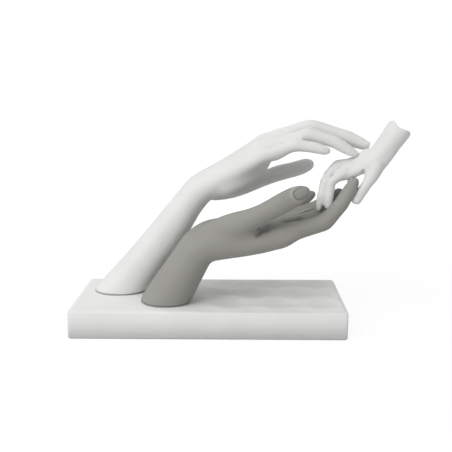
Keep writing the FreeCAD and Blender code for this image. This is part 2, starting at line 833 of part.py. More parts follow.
hole_circles = sketch_on(plinth_body, "hole_circles")
for side in ("front", "rear"):
    circle(hole_circles, f"Sizes.{side}_foot_x", f"Sizes.{side}_foot_y", "Sizes.stud_hole_diameter")
extrude(plinth_body, "Pocket", "stud_holes", hole_circles, "2 * Sizes.plinth_height", reverse=True)
plinth_body.setExpression("Placement.Base.z", "Sizes.felt_thickness")

# The plinth's top: scalloped ripples that fade out at its edges and towards the feet, and
# softened edges


def easing(distance, width):
    """Rises smoothly from nought at no distance to one at a width and beyond."""
    share = min(max(distance / width, 0), 1)
    return share * share * (3 - 2 * share)


def top_height(x, y):
    """Level of the plinth's top at a place."""
    to_side = size("plinth_length") / 2 - abs(x)
    to_front = size("plinth_depth") / 2 - abs(y)
    along = 2 * math.pi * x / size("ripple_length")
    rows = y / size("ripple_pitch") + RIPPLE_ROW_SHARE
    scallop = RIPPLE_SCALLOP_SHARE * math.cos(along) * math.cos(math.pi * rows)
    trough = (1 - math.cos(2 * math.pi * (rows + scallop))) / 2
    ripple = size("ripple_depth") * trough * easing(x - size("ripple_start"), size("ripple_fade"))
    ripple *= easing(to_side, size("ripple_margin")) * easing(to_front, size("ripple_margin"))
    past_side = max(0, 1 - to_side / size("plinth_edge_width"))
    past_front = max(0, 1 - to_front / size("plinth_edge_width"))
    return plinth_top - ripple - size("plinth_edge_drop") * (past_side * past_side + past_front * past_front)


def grid_line(length):
    """Places of the control points across the plinth: even ones, and close ones at both edges."""
    width = size("plinth_edge_width")
    half = length / 2
    count = round((length - 2 * width) / size("ripple_step"))
    even = [-half + width + (length - 2 * width) * step / count for step in range(count + 1)]
    return [-half - width, -half, -half + width / 2, *even, half - width / 2, half, half + width]


def open_knots(count):
    """Knots and multiplicities of a cubic with a number of control points."""
    return [4] + [1] * (count - 4) + [4], list(range(count - 2))


def top_tool():
    """What is cut off above the plinth's top."""
    xs = grid_line(size("plinth_length"))
    ys = grid_line(size("plinth_depth"))
    poles = [[Vector(x, y, top_height(x, y)) for y in ys] for x in xs]
    x_multiples, x_knots = open_knots(len(xs))
    y_multiples, y_knots = open_knots(len(ys))
    surface = Part.BSplineSurface()
    surface.buildFromPolesMultsKnots(
        poles, x_multiples, y_multiples, x_knots, y_knots, False, False, 3, 3
    )
    return surface.toShape().extrude(Vector(0, 0, 2 * size("plinth_height")))


plinth = difference("plinth", plinth_body, feature("plinth_top_tool", top_tool()))

# A felt sheet glued under the plinth's rim, which covers the nuts and is what the piece stands on

felt_base = bind(
    doc.addObject("Part::Box", "felt_base"),
    Length="Sizes.plinth_length - 2 * Sizes.felt_inset",
    Width="Sizes.plinth_depth - 2 * Sizes.felt_inset",
    Height="Sizes.felt_thickness",
    Placement__Base__x="Sizes.felt_inset - Sizes.plinth_length / 2",
    Placement__Base__y="Sizes.felt_inset - Sizes.plinth_depth / 2",
)
felt_base.Label = "felt_base"

# Studs, and the washers and nuts under the plinth's deck


def pierced(label, diameter, bore, height, foot, bottom):
    """A flat washer."""
    disc = cylinder(f"{label}_disc", diameter, height, *foot, bottom)
    hole = cylinder(f"{label}_bore", bore, height, *foot, bottom)
    return difference(label, disc, hole)


def fixings(side):
    """The stud of one arm, and what tightens it."""
    foot = (f"Sizes.{side}_foot_x", f"Sizes.{side}_foot_y")
    cushion_bottom = "Sizes.deck_underside - Sizes.cushion_thickness"
    washer_bottom = f"{cushion_bottom} - Sizes.washer_thickness"
    nut_bottom = f"{washer_bottom} - Sizes.nut_height"
    stud_bottom = f"{nut_bottom} - Sizes.stud_projection"
    stud = cylinder(
        f"{side}_stud",
        "Sizes.stud_diameter",
        f"Sizes.seat_level + Sizes.stud_embedment - ({stud_bottom})",
        *foot,
        stud_bottom,
    )
    cushion = pierced(
        f"{side}_cushion_washer",
        "Sizes.cushion_diameter",
        "Sizes.stud_hole_diameter",
        "Sizes.cushion_thickness",
        foot,
        cushion_bottom,
    )
    washer = pierced(
        f"{side}_steel_washer",
        "Sizes.washer_diameter",
        "Sizes.washer_bore",
        "Sizes.washer_thickness",
        foot,
        washer_bottom,
    )
    hexagon = doc.addObject("Part::Prism", f"{side}_nut_hexagon")
    bind(
        hexagon,
        Circumradius="Sizes.nut_across_flats / 2 / cos(30 deg)",
        Height="Sizes.nut_height",
        Placement__Base__x=foot[0],
        Placement__Base__y=foot[1],
        Placement__Base__z=nut_bottom,
    )
    nut_bore = cylinder(
        f"{side}_nut_bore", "Sizes.stud_diameter + 2 * Sizes.fit_gap", "Sizes.nut_height", *foot, nut_bottom
    )
    return [stud, cushion, washer, difference(f"{side}_nut", hexagon, nut_bore)]


parts = [
    plinth,
    front_arm,
    rear_arm,
    child_hand,
    front_plug,
    rear_plug,
    front_gasket,
    rear_gasket,
    finger_pin,
    *fixings("front"),
    *fixings("rear"),
    felt_base,
]
doc.recompute()

# Checks, and the files

for item in doc.Objects:
    for state in ("Invalid", "Error"):
        if state in item.State:
            raise RuntimeError(f"{item.Label} is {state}")
for item in parts:
    if item.Shape.isNull() or not item.Shape.isValid():
        raise RuntimeError(f"{item.Label} has no valid shape")
    if len(item.Shape.Solids) != 1:
        raise RuntimeError(f"{item.Label} is {len(item.Shape.Solids)} solids")
for item in parts:
    item.Shape.exportStep(f"parts/{item.Label}.step")
    print(item.Label, round(item.Shape.Volume), item.Shape.BoundBox)
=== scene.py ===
import math

import bmesh
import bpy
import numpy as np
from mathutils import Matrix, Vector


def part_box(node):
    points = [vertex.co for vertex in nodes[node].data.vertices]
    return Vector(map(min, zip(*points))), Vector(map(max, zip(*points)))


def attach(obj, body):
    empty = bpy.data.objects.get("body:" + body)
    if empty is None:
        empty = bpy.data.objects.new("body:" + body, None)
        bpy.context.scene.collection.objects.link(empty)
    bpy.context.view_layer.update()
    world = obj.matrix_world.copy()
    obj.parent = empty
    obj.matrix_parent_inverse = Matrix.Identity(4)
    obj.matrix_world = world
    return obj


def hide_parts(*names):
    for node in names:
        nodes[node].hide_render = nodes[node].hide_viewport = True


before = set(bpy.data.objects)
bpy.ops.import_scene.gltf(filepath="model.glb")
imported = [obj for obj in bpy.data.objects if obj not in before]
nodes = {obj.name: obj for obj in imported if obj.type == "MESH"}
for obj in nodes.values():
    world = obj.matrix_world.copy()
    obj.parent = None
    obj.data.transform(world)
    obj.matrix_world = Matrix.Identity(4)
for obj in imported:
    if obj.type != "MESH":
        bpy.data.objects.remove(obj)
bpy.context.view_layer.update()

# Three right hands of unglazed ceramic meet over a rippled plinth. Metres throughout, with the
# origin in the middle of the plane under the felt, X along the plinth and Z up. The hands and the
# plinth are shown by skins laid over their solids and worked as clay is.

# Joints of every digit, from the palm to the tip

FRONT_DIGITS = {
    "index": [(0.0345, -0.0400, 0.1028), (0.0797, -0.0454, 0.1109), (0.1241, -0.0445, 0.1245),
              (0.1422, -0.0427, 0.1453), (0.1521, -0.0409, 0.1716)],
    "middle": [(0.0345, -0.0219, 0.1028), (0.0833, -0.0237, 0.1154), (0.1223, -0.0237, 0.1268),
               (0.1367, -0.0228, 0.1390), (0.1431, -0.0219, 0.1580)],
    "ring": [(0.0345, -0.0056, 0.1046), (0.0770, -0.0029, 0.1182), (0.1078, -0.0029, 0.1281),
             (0.1214, -0.0029, 0.1345), (0.1322, -0.0038, 0.1444)],
    "little": [(0.0281, 0.0080, 0.1064), (0.0661, 0.0170, 0.1200), (0.0933, 0.0170, 0.1308),
               (0.1069, 0.0161, 0.1381), (0.1177, 0.0143, 0.1471)],
    "thumb": [(0.0037, -0.0301, 0.1064), (0.0426, -0.0500, 0.1267), (0.0743, -0.0581, 0.1453),
              (0.1020, -0.0599, 0.1620)],
}
REAR_DIGITS = {
    "index": [(0.0160, 0.0321, 0.1730), (0.0630, 0.0361, 0.2010), (0.1160, 0.0251, 0.2160),
              (0.1550, 0.0151, 0.2070), (0.1790, 0.0091, 0.1980)],
    "middle": [(0.0160, 0.0221, 0.1750), (0.0600, 0.0191, 0.2040), (0.1120, 0.0071, 0.2220),
               (0.1510, -0.0019, 0.2110), (0.1760, -0.0069, 0.2010)],
    "ring": [(0.0160, 0.0101, 0.1720), (0.0580, 0.0011, 0.1990), (0.1080, -0.0109, 0.2150),
             (0.1360, -0.0169, 0.2070), (0.1600, -0.0219, 0.1930)],
    "little": [(0.0160, -0.0009, 0.1670), (0.0570, -0.0149, 0.1910), (0.0940, -0.0249, 0.2050),
               (0.1130, -0.0289, 0.2020), (0.1300, -0.0329, 0.1980)],
    "thumb": [(0.0010, 0.0261, 0.1480), (0.0390, 0.0421, 0.1510), (0.0800, 0.0421, 0.1660),
              (0.1190, 0.0361, 0.1760)],
}
SMALL_DIGITS = {
    "index": [(0.1650, -0.0279, 0.1796), (0.1445, -0.0329, 0.1756), (0.1295, -0.0369, 0.1661),
              (0.1270, -0.0379, 0.1516), (0.1265, -0.0374, 0.1406)],
    "middle": [(0.1645, -0.0199, 0.1851), (0.1385, -0.0209, 0.1816), (0.1250, -0.0269, 0.1666),
               (0.1210, -0.0309, 0.1511), (0.1180, -0.0329, 0.1346)],
    "ring": [(0.1660, -0.0109, 0.1851), (0.1405, -0.0079, 0.1826), (0.1300, -0.0089, 0.1706),
             (0.1280, -0.0109, 0.1611), (0.1290, -0.0129, 0.1526)],
    "little": [(0.1670, -0.0029, 0.1851), (0.1455, 0.0031, 0.1821), (0.1370, 0.0021, 0.1726),
               (0.1345, 0.0011, 0.1636), (0.1370, -0.0009, 0.1561)],
    "thumb": [(0.1835, -0.0289, 0.1901), (0.1730, -0.0379, 0.1721), (0.1630, -0.0409, 0.1581),
              (0.1550, -0.0409, 0.1456)],
}

# The axes that each hand's fingers and its thumb bend about

FRONT_HINGE = (0.2, -0.96, -0.17)
FRONT_THUMB_HINGE = (-0.5, 0.05, 0.87)
REAR_HINGE = (0.12, 0.97, 0.2)
REAR_THUMB_HINGE = (0.21, 0.54, -0.72)
SMALL_HINGE = (0, -0.98, -0.18)
SMALL_THUMB_HINGE = (0.37, 0.79, -0.33)

# Sums


def unit(vector):
    """The vector at a length of one."""
    vector = np.array(vector, float)
    return vector / np.linalg.norm(vector)


def mix(first, second, share):
    """A point a share of the way from one to another."""
    return np.array(first) + (np.array(second) - np.array(first)) * share


def along(points, path):
    """How far each point is from a path, and its share of the way along it."""
    path = np.array(path, float)
    best = np.full(len(points), np.inf)
    place = np.zeros(len(points))
    spans = np.linalg.norm(np.diff(path, axis=0), axis=1)
    done = 0
    for start, end, span in zip(path[:-1], path[1:], spans):
        share = np.clip((points - start) @ (end - start) / span**2, 0, 1)
        distance = np.linalg.norm(points - start - share[:, None] * (end - start), axis=1)
        closer = distance < best
        best[closer] = distance[closer]
        place[closer] = (done + share[closer] * span) / spans.sum()
        done += span
    return best, place


def neighbour_sums(points, edges):
    """For each point, the sum of the points at the far ends of its edges."""
    first, second = edges.T
    sums = np.empty(points.shape)
    for axis in range(3):
        column = points[:, axis]
        sums[:, axis] = np.bincount(first, column[second], len(column))
        sums[:, axis] += np.bincount(second, column[first], len(column))
    return sums


def digit_frame(joints, hinge, bone):
    """Way along a bone, and the way out of its back."""
    way = unit(np.subtract(joints[bone + 1], joints[bone]))
    hinge = np.array(hinge, float)
    side = unit(hinge - way * (hinge @ way))
    return way, np.cross(way, side)


# Meshes

MERGE_DISTANCE = 1e-6
FOOT_FLATNESS = 2e-5
BALLS_PER_SPAN = 6


def open_mesh(piece):
    """A piece's mesh, opened for work."""
    bm = bmesh.new()
    bm.from_mesh(piece.data)
    return bm


def close_mesh(bm, piece):
    """Puts a worked mesh back in its piece."""
    bm.to_mesh(piece.data)
    bm.free()


def node_copy(node, name):
    """A merged copy of a CAD node's mesh, in an object of its own."""
    piece = bpy.data.objects.new(name, nodes[node].data.copy())
    bpy.context.scene.collection.objects.link(piece)
    bm = open_mesh(piece)
    bmesh.ops.remove_doubles(bm, verts=bm.verts, dist=MERGE_DISTANCE)
    close_mesh(bm, piece)
    return piece


def close_foot(piece, level):
    """Takes away the hollow in a forearm, behind the flat ring at its foot, and closes the foot."""
    bm = open_mesh(piece)
    ring = [
        face for face in bm.faces
        if all(abs(vert.co.z - level) < FOOT_FLATNESS for vert in face.verts)
    ]
    bmesh.ops.delete(bm, geom=ring, context="FACES")
    left = set(bm.verts)
    islands = []
    while left:
        start = left.pop()
        island = {start}
        waiting = [start]
        while waiting:
            vert = waiting.pop()
            for edge in vert.link_edges:
                other = edge.other_vert(vert)
                if other in left:
                    left.discard(other)
                    island.add(other)
                    waiting.append(other)
        islands.append(island)
    islands.sort(key=lambda island: max(vert.co.z for vert in island))
    inner = [vert for island in islands[:-1] for vert in island]
    bmesh.ops.delete(bm, geom=inner, context="VERTS")
    rim = [edge for edge in bm.edges if edge.is_boundary]
    bmesh.ops.holes_fill(bm, edges=rim)
    close_mesh(bm, piece)


def add_swells(piece, swells):
    """Lays balls of clay against a piece, for the next even mesh to take in."""
    bm = open_mesh(piece)
    for path in swells:
        for (place, radius), (next_place, next_radius) in zip(path[:-1], path[1:]):
            for share in np.linspace(0, 1, BALLS_PER_SPAN):
                ball = Matrix.Translation(mix(place, next_place, share))
                wide = radius + (next_radius - radius) * share
                bmesh.ops.create_icosphere(bm, subdivisions=3, radius=wide, matrix=ball)
    close_mesh(bm, piece)


def remesh(piece, cell):
    """Lays even quads over the whole skin."""
    modifier = piece.modifiers.new("even", "REMESH")
    modifier.mode = "VOXEL"
    modifier.voxel_size = cell
    depsgraph = bpy.context.evaluated_depsgraph_get()
    shaped = bpy.data.meshes.new_from_object(piece.evaluated_get(depsgraph))
    piece.modifiers.clear()
    piece.data = shaped


def refine(piece, places):
    """Halves the quads near some places, each a point and a radius."""
    bm = open_mesh(piece)
    points = np.array([vert.co for vert in bm.verts])
    near = np.zeros(len(points), bool)
    for point, radius in places:
        near |= np.linalg.norm(points - np.array(point), axis=1) < radius
    chosen = [edge for edge in bm.edges if all(near[vert.index] for vert in edge.verts)]
    bmesh.ops.subdivide_edges(bm, edges=chosen, cuts=1, use_grid_fill=True)
    close_mesh(bm, piece)


# How far a point moves in one pass of smoothing, as a share of the way to its neighbours' middle
PASS_SHARE = 0.5

# How sharply each kind of mark fades where the skin turns away from it
STROKE_FADE = 2.5
MOUND_FADE = 2
NAIL_FADE = 3

# How far marks reach, in widths of their own
STROKE_REACH = 2.5
NAIL_REACH = 1.2

# A nail's outline, and then its groove, fold and plate in shares of its depth
NAIL_SQUARENESS = 3
NAIL_FOLD_END = 0.9
NAIL_GROOVE_WIDTH = 1.1
NAIL_FOLD_PLACE = 2.4
NAIL_FOLD_WIDTH = 1.8
NAIL_FOLD_HEIGHT = 0.4
NAIL_PLATE_EDGE = 0.35
NAIL_PLATE_HEIGHT = 0.1
NAIL_PLATE_TILT = 0.35
# Painted highlight on a nail's fold and painted shade in its groove
NAIL_PAINTED_LIGHT = 0.5


class Clay:
    """A piece's skin as arrays, for pushing and smoothing it as clay is."""

    def __init__(self, piece):
        self.mesh = piece.data
        count = len(self.mesh.vertices)
        self.points = np.zeros(count * 3)
        self.mesh.vertices.foreach_get("co", self.points)
        self.points = self.points.reshape(-1, 3)
        edges = np.zeros(len(self.mesh.edges) * 2, int)
        self.mesh.edges.foreach_get("vertices", edges)
        self.edges = edges.reshape(-1, 2)
        self.valence = np.bincount(edges, minlength=count)[:, None]
        # Painted light at each point: above nought a painted highlight, below it painted shade
        self.painted_light = np.zeros(count)
        self.refresh()

    def refresh(self):
        """Puts the points back in the mesh and works out its normals again."""
        self.mesh.vertices.foreach_set("co", self.points.ravel())
        self.mesh.update()
        normals = np.zeros(len(self.points) * 3, np.float32)
        self.mesh.vertex_normals.foreach_get("vector", normals)
        self.normals = normals.reshape(-1, 3).astype(float)

    def keep_painted_light(self):
        """Keeps the painted highlight or painted shade at each place, for the finish to show."""
        kept = self.mesh.attributes.new("painted_light", "FLOAT", "POINT")
        kept.data.foreach_set("value", np.clip(self.painted_light, -1, 1))

    def within(self, low, high):
        """Numbers of the points inside a box."""
        return np.nonzero(np.all((self.points > low) & (self.points < high), axis=1))[0]

    def near(self, point, radius):
        """Numbers of the points round a point, with a weight that falls smoothly to nought."""
        point = np.array(point)
        inside = self.within(point - radius, point + radius)
        share = 1 - np.linalg.norm(self.points[inside] - point, axis=1) / radius
        inside, share = inside[share > 0], share[share > 0]
        return inside, (share * share * (3 - 2 * share))[:, None]

    def facing(self, inside, way, sharpness):
        """One where the skin faces a way, nought where it faces off."""
        return np.clip(self.normals[inside] @ np.array(way, float) * sharpness, 0, 1)

    def on_skin(self, path):
        """The nearest places on the skin to a path's points."""
        return [
            self.points[np.argmin(np.linalg.norm(self.points - point, axis=1))]
            for point in np.array(path)
        ]

    def smooth(self, passes):
        """Plain smoothing all over, as with a damp sponge."""
        for _ in range(passes):
            middles = neighbour_sums(self.points, self.edges) / self.valence
            self.points += (middles - self.points) * PASS_SHARE
        self.refresh()

    def fill(self, point, radius, passes, proud_too=False):
        """Fills creases round a point with a fillet, and takes down what stands proud if told."""
        inside, weight = self.near(point, radius)
        marked = np.zeros(len(self.points), bool)
        marked[inside] = True
        edges = self.edges[marked[self.edges].any(axis=1)]
        used, edges = np.unique(edges, return_inverse=True)
        edges = edges.reshape(-1, 2)
        row = np.searchsorted(used, inside)
        points = self.points[used]
        normals = self.normals[inside]
        for _ in range(passes):
            move = neighbour_sums(points, edges)[row] / self.valence[inside] - points[row]
            rise = np.sum(move * normals, axis=1, keepdims=True)
            lift = rise * PASS_SHARE if proud_too else np.maximum(rise, 0)
            slide = (move - normals * rise) * PASS_SHARE
            points[row] += (normals * lift + slide) * weight
        self.points[inside] = points[row]
        self.refresh()

    def soften(self, point, radius, passes):
        """Rounds the skin off near a point."""
        self.fill(point, radius, passes, proud_too=True)

    def pull(self, point, radius, move):
        """Draws the clay near a point along."""
        inside, weight = self.near(point, radius)
        self.points[inside] += weight * np.array(move)

    def mound(self, point, radius, height, way):
        """Raises a soft mound where the skin faces a way."""
        inside, weight = self.near(point, radius)
        weight = weight[:, 0] * self.facing(inside, way, MOUND_FADE)
        self.points[inside] += self.normals[inside] * (weight * height)[:, None]

    def stroke(self, path, width, height, taper, way=None, painted_light=0):
        """Raises a soft ridge along a path, or sinks a groove where its height is negative, and
        paints a highlight or shade along it by the share given.
        """
        path = np.array(path, float)
        reach = STROKE_REACH * width
        inside = self.within(path.min(axis=0) - reach, path.max(axis=0) + reach)
        distance, place = along(self.points[inside], path)
        weight = np.exp(-((distance / width) ** 2) * 2)
        weight *= np.clip(np.minimum(place, 1 - place) / taper, 0, 1)
        if way is not None:
            weight *= self.facing(inside, way, STROKE_FADE)
        self.points[inside] += self.normals[inside] * (weight * height)[:, None]
        # Painted highlight along a ridge where the share is above nought, painted shade where it is
        # below
        self.painted_light[inside] += weight * painted_light

    def draw(self, paths, width, height, taper, painted_light):
        """Strokes of one kind, each along a path laid on the skin, with one share of painted
        highlight or shade.
        """
        for path in paths:
            self.stroke(self.on_skin(path), width, height, taper, painted_light=painted_light)

    def nail(self, point, way, out, width, length, depth):
        """A fingernail: a fold round a rounded plate that stands a little proud at its tip."""
        side = np.cross(way, out)
        inside = self.within(point - width * NAIL_REACH, point + width * NAIL_REACH)
        from_middle = self.points[inside] - point
        across = from_middle @ side / (width / 2)
        forward = from_middle @ way / (length / 2)
        facing = self.facing(inside, out, NAIL_FADE) * (from_middle @ out > -width / 3)
        outline = np.abs(across) ** NAIL_SQUARENESS + np.abs(forward) ** NAIL_SQUARENESS
        past_edge = (outline ** (1 / NAIL_SQUARENESS) - 1) * min(width, length) / 2
        groove = np.exp(-((past_edge / (depth * NAIL_GROOVE_WIDTH)) ** 2))
        past_fold = (past_edge - depth * NAIL_FOLD_PLACE) / (depth * NAIL_FOLD_WIDTH)
        fold = np.exp(-(past_fold**2)) * np.clip(NAIL_FOLD_END - forward, 0, 1)
        plate = 1 / (1 + np.exp(np.clip(past_edge / (depth * NAIL_PLATE_EDGE), -30, 30)))
        plate_height = NAIL_PLATE_HEIGHT + NAIL_PLATE_TILT * np.clip(forward, -1, 1)
        height = NAIL_FOLD_HEIGHT * fold - groove + plate * plate_height
        self.points[inside] += self.normals[inside] * (height * facing * depth)[:, None]
        # Painted highlight on the fold and painted shade in the groove
        self.painted_light[inside] += (NAIL_PAINTED_LIGHT * fold - NAIL_PAINTED_LIGHT * groove) * facing


# Work on one hand. Breadths are shares of a finger's, and heights, depths and radii are a grown
# hand's, which the hand's own share brings down.

THUMB_BREADTH = 1.15
LITTLE_BREADTH = 0.86

# Mounds over a digit's bones: how far out of the bone, how wide, and how high
KNUCKLE = (0.5, 0.75, 0.0011)
JOINT = (0.45, 0.55, 0.0005)

# Creases over a joint: places along the digit in shares of its breadth, and then the digit's
# breadth there, a depth, a reach round the digit in degrees, and a width
BACK_CREASE_PLACES = (-0.16, 0, 0.15)
BACK_CREASE = (1, 0.00012, 38, 0.0007)
INNER_CREASE_PLACES = (-0.05, 0.09)
INNER_CREASE = (0.94, 0.0003, 55, 0.0008)
CREASE_POINTS = 9
CREASE_TAPER = 0.2

# Nails, in shares of the digit's breadth or of their own length
NAIL_RISE = 0.3
FINGER_NAIL_LENGTH = 0.66
FINGER_NAIL_BACK = 0.52
FINGER_NAIL_WIDTH = 0.96
THUMB_NAIL_BACK = 0.4
THUMB_NAIL_WIDTH = 0.84
THUMB_NAIL_DEPTH = 1.6

# Where the quads are halved: how far back from a tip, and the radii there and round a joint
FINE_TIP_PLACE = 0.2
FINE_TIP_RADIUS = 1.05
FINE_JOINT_RADIUS = 0.72

# Fillets where the digits leave the palm: places, as shares of the way along a bone or between
# two joints, and radii
THUMB_BALL_PLACE = 0.7
THUMB_WEB_PLACE = 0.45
FINGER_BASE_PLACE = 0.5
FINGER_WEB_PLACE = 0.28
THUMB_BALL = 0.04
THUMB_ROOT = 0.026
THUMB_WEB = 0.024
FINGER_ROOT = 0.016
FINGER_BASE = 0.026
FINGER_WEB = 0.012

# How far along a finger its move away from its neighbours grows to the full
SPREAD_RAMP = 0.4

# The first even mesh is coarser than the last by this share
COARSE_SHARE = 1.7
SWELL_FILL_REACH = 2.2


def crease_across(clay, point, way, out, breadth, depth, reach, width):
    """A crease across a digit at a point, bowed along it, on the side that out points to."""
    side = np.cross(way, out)
    path = []
    for turn in np.linspace(-reach, reach, CREASE_POINTS):
        angle = math.radians(turn)
        radial = np.array(out) * math.cos(angle) + side * math.sin(angle)
        path.append(np.array(point) + radial * breadth / 2)
    clay.stroke(path, width, -depth, CREASE_TAPER, out)


def joint_mound(clay, point, out, wide, share, kind):
    """A mound of one kind over a joint, on its back."""
    rise, reach, height = kind
    clay.mound(point + out * wide * rise, wide * reach, height * share, out)


def creases(clay, point, way, out, wide, share, places, kind):
    """A joint's creases of one kind, one at each place along the digit."""
    breadth, depth, reach, width = kind
    for shift in places:
        middle = point + way * wide * shift
        crease_across(clay, middle, way, out, wide * breadth, depth * share, reach, width * share)


def shape_digits(clay, digits, hinge, thumb_hinge, breadth, share, nail_depth, thumb_nail_share):
    """Knuckles, creases and nails of a hand. The share is its size against a grown hand's."""
    nails = []
    for name, joints in digits.items():
        thumb = name == "thumb"
        turn_hinge = thumb_hinge if thumb else hinge
        last = len(joints) - 2
        wide = breadth * (THUMB_BREADTH if thumb else LITTLE_BREADTH if name == "little" else 1)
        for bone in range(1, last + 1):
            point = np.array(joints[bone])
            way_before, out_before = digit_frame(joints, turn_hinge, bone - 1)
            way_after, out_after = digit_frame(joints, turn_hinge, bone)
            way = unit(way_before + way_after)
            out = unit(out_before + out_after)
            if bone == 1 and not thumb:
                joint_mound(clay, point, out, wide, share, KNUCKLE)
                continue
            joint_mound(clay, point, out, wide, share, JOINT)
            creases(clay, point, way, out, wide, share, BACK_CREASE_PLACES, BACK_CREASE)
            creases(clay, point, way, -out, wide, share, INNER_CREASE_PLACES, INNER_CREASE)
        way, out = digit_frame(joints, turn_hinge, last)
        length = wide * (thumb_nail_share if thumb else FINGER_NAIL_LENGTH)
        back = length * (THUMB_NAIL_BACK if thumb else FINGER_NAIL_BACK)
        width = length * (THUMB_NAIL_WIDTH if thumb else FINGER_NAIL_WIDTH)
        depth = nail_depth * (THUMB_NAIL_DEPTH if thumb else 1)
        middle = np.array(joints[-1]) - way * back + out * wide * NAIL_RISE
        nails.append((middle, way, out, width, length, depth))
    for nail in nails:
        clay.nail(*nail)


def nail_places(digits, breadth):
    """Points and radii where a hand's skin needs finer quads: its nails and its joints."""
    places = []
    for joints in digits.values():
        near_tip = mix(joints[-1], joints[-2], FINE_TIP_PLACE)
        places.append((near_tip, breadth * FINE_TIP_RADIUS))
        for joint in joints[2:-1]:
            places.append((joint, breadth * FINE_JOINT_RADIUS))
    return places


def fill_hand(clay, digits, share, passes):
    """Fillets where a hand's digits leave its palm."""
    thumb = digits["thumb"]
    clay.fill(mix(thumb[0], thumb[1], THUMB_BALL_PLACE), THUMB_BALL * share, passes)
    clay.fill(thumb[1], THUMB_ROOT * share, passes)
    fingers = [digits[finger] for finger in ("index", "middle", "ring", "little")]
    for finger in fingers:
        clay.fill(finger[1], FINGER_ROOT * share, passes // 2)
        base = mix(finger[0], finger[1], FINGER_BASE_PLACE)
        clay.fill(base, FINGER_BASE * share, passes // 2)
    for first, second in zip(fingers[:-1], fingers[1:]):
        on_first = mix(first[1], first[2], FINGER_WEB_PLACE)
        on_second = mix(second[1], second[2], FINGER_WEB_PLACE)
        clay.fill(mix(on_first, on_second, 0.5), FINGER_WEB * share, passes // 2)
    clay.fill(mix(fingers[0][1], thumb[1], THUMB_WEB_PLACE), THUMB_WEB * share, passes)


def spread_fingers(piece, digits, spreads):
    """Moves whole fingers a little away from their neighbours, from the knuckle on."""
    clay = Clay(piece)
    measures = {name: along(clay.points, joints[1:]) for name, joints in digits.items()}
    nearest = np.min([distance for distance, _ in measures.values()], axis=0)
    for name, move in spreads.items():
        distance, place = measures[name]
        weight = (distance == nearest) * np.clip(place / SPREAD_RAMP, 0, 1)
        clay.points += weight[:, None] * np.array(move)
    clay.refresh()


def hand(node, name, digits, hinge, thumb_hinge, breadth, share, cell, nail_depth,
         thumb_nail_share, swells=(), foot=None, spreads=None):
    """The skin of one hand as clay, ready for what is its own."""
    piece = node_copy(node, name)
    if foot is not None:
        close_foot(piece, foot)
    if spreads:
        spread_fingers(piece, digits, spreads)
    add_swells(piece, swells)
    remesh(piece, cell * COARSE_SHARE)
    clay = Clay(piece)
    fill_hand(clay, digits, share, passes=50)
    for path in swells:
        for place, radius in path:
            clay.fill(place, radius * SWELL_FILL_REACH, passes=40)
    clay.smooth(passes=2)
    remesh(piece, cell)
    clay = Clay(piece)
    fill_hand(clay, digits, share, passes=20)
    clay.smooth(passes=4)
    refine(piece, nail_places(digits, breadth))
    clay = Clay(piece)
    clay.smooth(passes=3)
    shape_digits(clay, digits, hinge, thumb_hinge, breadth, share, nail_depth, thumb_nail_share)
    clay.refresh()
    return piece, clay


# The three hands. The swells are clay laid along paths, each a row of places and radii: they fill
# out the heel of the rear hand's palm and the small hand's wrist, and round the ends of digits.

REAR_SWELLS = [
    [((0.012, 0.004, 0.154), 0.0105), ((0.022, 0.002, 0.158), 0.0135),
     ((0.034, 0.001, 0.165), 0.0135), ((0.044, 0.001, 0.170), 0.0115),
     ((0.052, 0.002, 0.1745), 0.0095), ((0.060, 0.002, 0.1795), 0.0066),
     ((0.0655, -0.004, 0.1882), 0.0050), ((0.0742, -0.010, 0.1951), 0.0050)],
    [((0.085, 0.0415, 0.1675), 0.0074), ((0.100, 0.040, 0.1725), 0.008),
     ((0.108, 0.038, 0.175), 0.008), ((0.114, 0.037, 0.1765), 0.0068)],
]
SMALL_SWELLS = [
    [((0.2000, -0.0280, 0.2095), 0.0070), ((0.1900, -0.0290, 0.1962), 0.0080),
     ((0.1825, -0.0310, 0.1850), 0.0070), ((0.1755, -0.0350, 0.1760), 0.0052)],
    [((0.1625, -0.0405, 0.1575), 0.0056), ((0.1572, -0.0409, 0.1492), 0.0060)],
    [((0.1300, -0.0372, 0.1610), 0.0050), ((0.1286, -0.0378, 0.1516), 0.0050),
     ((0.1281, -0.0374, 0.1420), 0.0046)],
]
REAR_SPREADS = {"index": (0, 0.0046, 0), "middle": (0, 0.0018, 0.0003)}

seat_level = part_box("front_arm")[0].z
front_skin, front_clay = hand(
    "front_arm", "front_hand_skin", FRONT_DIGITS, FRONT_HINGE, FRONT_THUMB_HINGE,
    breadth=0.0185, share=1, cell=0.0012, nail_depth=0.0005, thumb_nail_share=0.66,
    foot=seat_level,
)
rear_skin, rear_clay = hand(
    "rear_arm", "rear_hand_skin", REAR_DIGITS, REAR_HINGE, REAR_THUMB_HINGE,
    breadth=0.0165, share=0.95, cell=0.00125, nail_depth=0.00042, thumb_nail_share=0.62,
    swells=REAR_SWELLS, foot=seat_level, spreads=REAR_SPREADS,
)
small_skin, small_clay = hand(
    "child_hand", "small_hand_skin", SMALL_DIGITS, SMALL_HINGE, SMALL_THUMB_HINGE,
    breadth=0.0098, share=0.5, cell=0.00065, nail_depth=0.0003, thumb_nail_share=0.62,
    swells=SMALL_SWELLS,
)

# What is each hand's own. Here digits and forearms are drawn out a little, each pull a place, a
# radius and a move, and then edges that the pulls left are rounded off.

